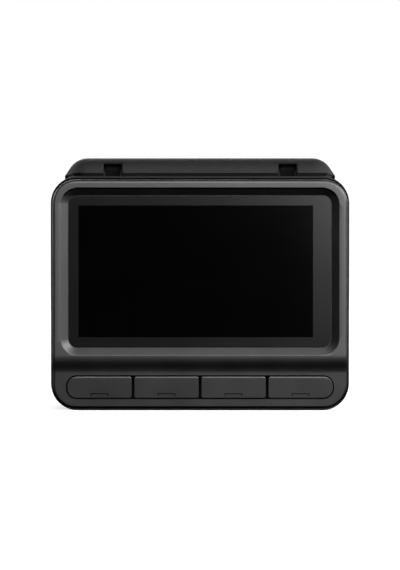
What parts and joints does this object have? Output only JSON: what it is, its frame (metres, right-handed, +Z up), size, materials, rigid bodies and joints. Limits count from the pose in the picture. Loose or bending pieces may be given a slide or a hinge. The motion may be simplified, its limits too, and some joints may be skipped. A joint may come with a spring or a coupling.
{
  "type": "dash camera",
  "caption": "Dash camera with a rear display over a row of keys, a road-side lens, and a hinged adhesive windscreen mount on its sloping top.",
  "frame": {"origin": "on the surface that the body stands on, under the middle of its bounding box", "axes": "+X across the display, to the right for a person looking at it; +Y from the display towards the lens and the road; +Z up"},
  "size_m": [0.0846, 0.04, 0.0714],
  "materials": {
    "shell_black": "fine satin grain, moulded",
    "housing_black": "fine spark-eroded grain, moulded",
    "mount_black": "stippled grain, moulded",
    "key_black": "satin",
    "cover_glass": "polished, black printed border",
    "dark_film": "matt film and foam",
    "panel_metal": "brushed panel frame",
    "flex_film": "glossy polyimide",
    "sheet_metal": "bead-blasted",
    "screw_steel": "plated",
    "board_green": "solder mask",
    "chip_black": "moulded epoxy",
    "shield_tin": "tinned",
    "thermal_blue": "soft pad",
    "capacitor_sleeve": "shrink sleeve",
    "speaker_black": "moulded frame and paper cone",
    "mesh_metal": "woven mesh",
    "microphone_gold": "plated can",
    "socket_metal": "plated",
    "card_black": "moulded",
    "antenna_ceramic": "fired ceramic with silver face",
    "antenna_copper": "etched film",
    "ring_metal": "anodised, turned",
    "seal_rubber": "matt",
    "barrel_black": "black anodised, ribbed",
    "lens_glass": "coated, polished",
    "filter_glass": "coated",
    "sensor_glass": "sensor under cover glass",
    "nub_white": "moulded",
    "pad_foam": "acrylic foam tape",
    "washer_black": "fibre washer"
  },
  "bodies": {
    "casing": {"front_housing": "housing_black", "rear_shell": "shell_black", "case_screws": "screw_steel", "display_glass": "cover_glass", "display_gasket": "dark_film", "display_panel": "panel_metal", "display_flex": "flex_film", "display_foam": "dark_film", "chassis_plate": "sheet_metal", "chassis_screws": "screw_steel", "main_board": "board_green", "board_screws": "screw_steel", "processor_shield": "shield_tin", "board_chips": "chip_black", "thermal_pad": "thermal_blue", "heat_sink": "sheet_metal", "supercapacitors": "capacitor_sleeve", "button_board": "board_green", "button_board_screws": "screw_steel", "tact_switches": "shield_tin", "speaker": "speaker_black", "speaker_mesh": "mesh_metal", "microphone": "microphone_gold", "power_socket": "socket_metal", "rear_camera_socket": "socket_metal", "card_socket": "socket_metal", "gps_antenna": "antenna_ceramic", "wifi_antenna": "antenna_copper", "lens_ring": "ring_metal", "lens_seal": "seal_rubber", "lens_barrel": "barrel_black", "lens_retainer": "barrel_black", "front_lens": "lens_glass", "inner_lenses": "lens_glass", "lens_spacers": "barrel_black", "lens_holder": "speaker_black", "infrared_filter": "filter_glass", "image_sensor": "sensor_glass", "sensor_board": "board_green", "sensor_screws": "screw_steel", "sensor_flex": "flex_film"},
    "left_end_key_body": {"left_end_key": "key_black", "left_end_nub": "nub_white"},
    "left_middle_key_body": {"left_middle_key": "key_black", "left_middle_nub": "nub_white"},
    "right_middle_key_body": {"right_middle_key": "key_black", "right_middle_nub": "nub_white"},
    "right_end_key_body": {"right_end_key": "key_black", "right_end_nub": "nub_white"},
    "mount": {"mount_shell": "mount_black", "mount_cover": "housing_black", "mount_screws": "screw_steel", "adhesive_pad": "pad_foam", "hinge_pins": "screw_steel", "friction_washers": "washer_black"},
    "card": {"memory_card": "card_black"}
  },
  "joints": [
    {"name": "left_end_key_press", "type": "slide", "parent": "casing", "child": "left_end_key_body", "axis": [0, 1, 0], "range_m": [0, 0.0004], "stiffness_N_per_m": 1500, "springref_m": -0.0002},
    {"name": "left_middle_key_press", "type": "slide", "parent": "casing", "child": "left_middle_key_body", "axis": [0, 1, 0], "range_m": [0, 0.0004], "stiffness_N_per_m": 1500, "springref_m": -0.0002},
    {"name": "right_middle_key_press", "type": "slide", "parent": "casing", "child": "right_middle_key_body", "axis": [0, 1, 0], "range_m": [0, 0.0004], "stiffness_N_per_m": 1500, "springref_m": -0.0002},
    {"name": "right_end_key_press", "type": "slide", "parent": "casing", "child": "right_end_key_body", "axis": [0, 1, 0], "range_m": [0, 0.0004], "stiffness_N_per_m": 1500, "springref_m": -0.0002},
    {"name": "mount_hinge", "type": "hinge", "parent": "casing", "child": "mount", "pos_m": [0, -0.0074, 0.06642], "axis": [1, 0, 0], "range_deg": [0, 60]},
    {"name": "card_slide", "type": "slide", "parent": "casing", "child": "card", "axis": [1, 0, 0], "range_m": [0, 0.012]}
  ]
}
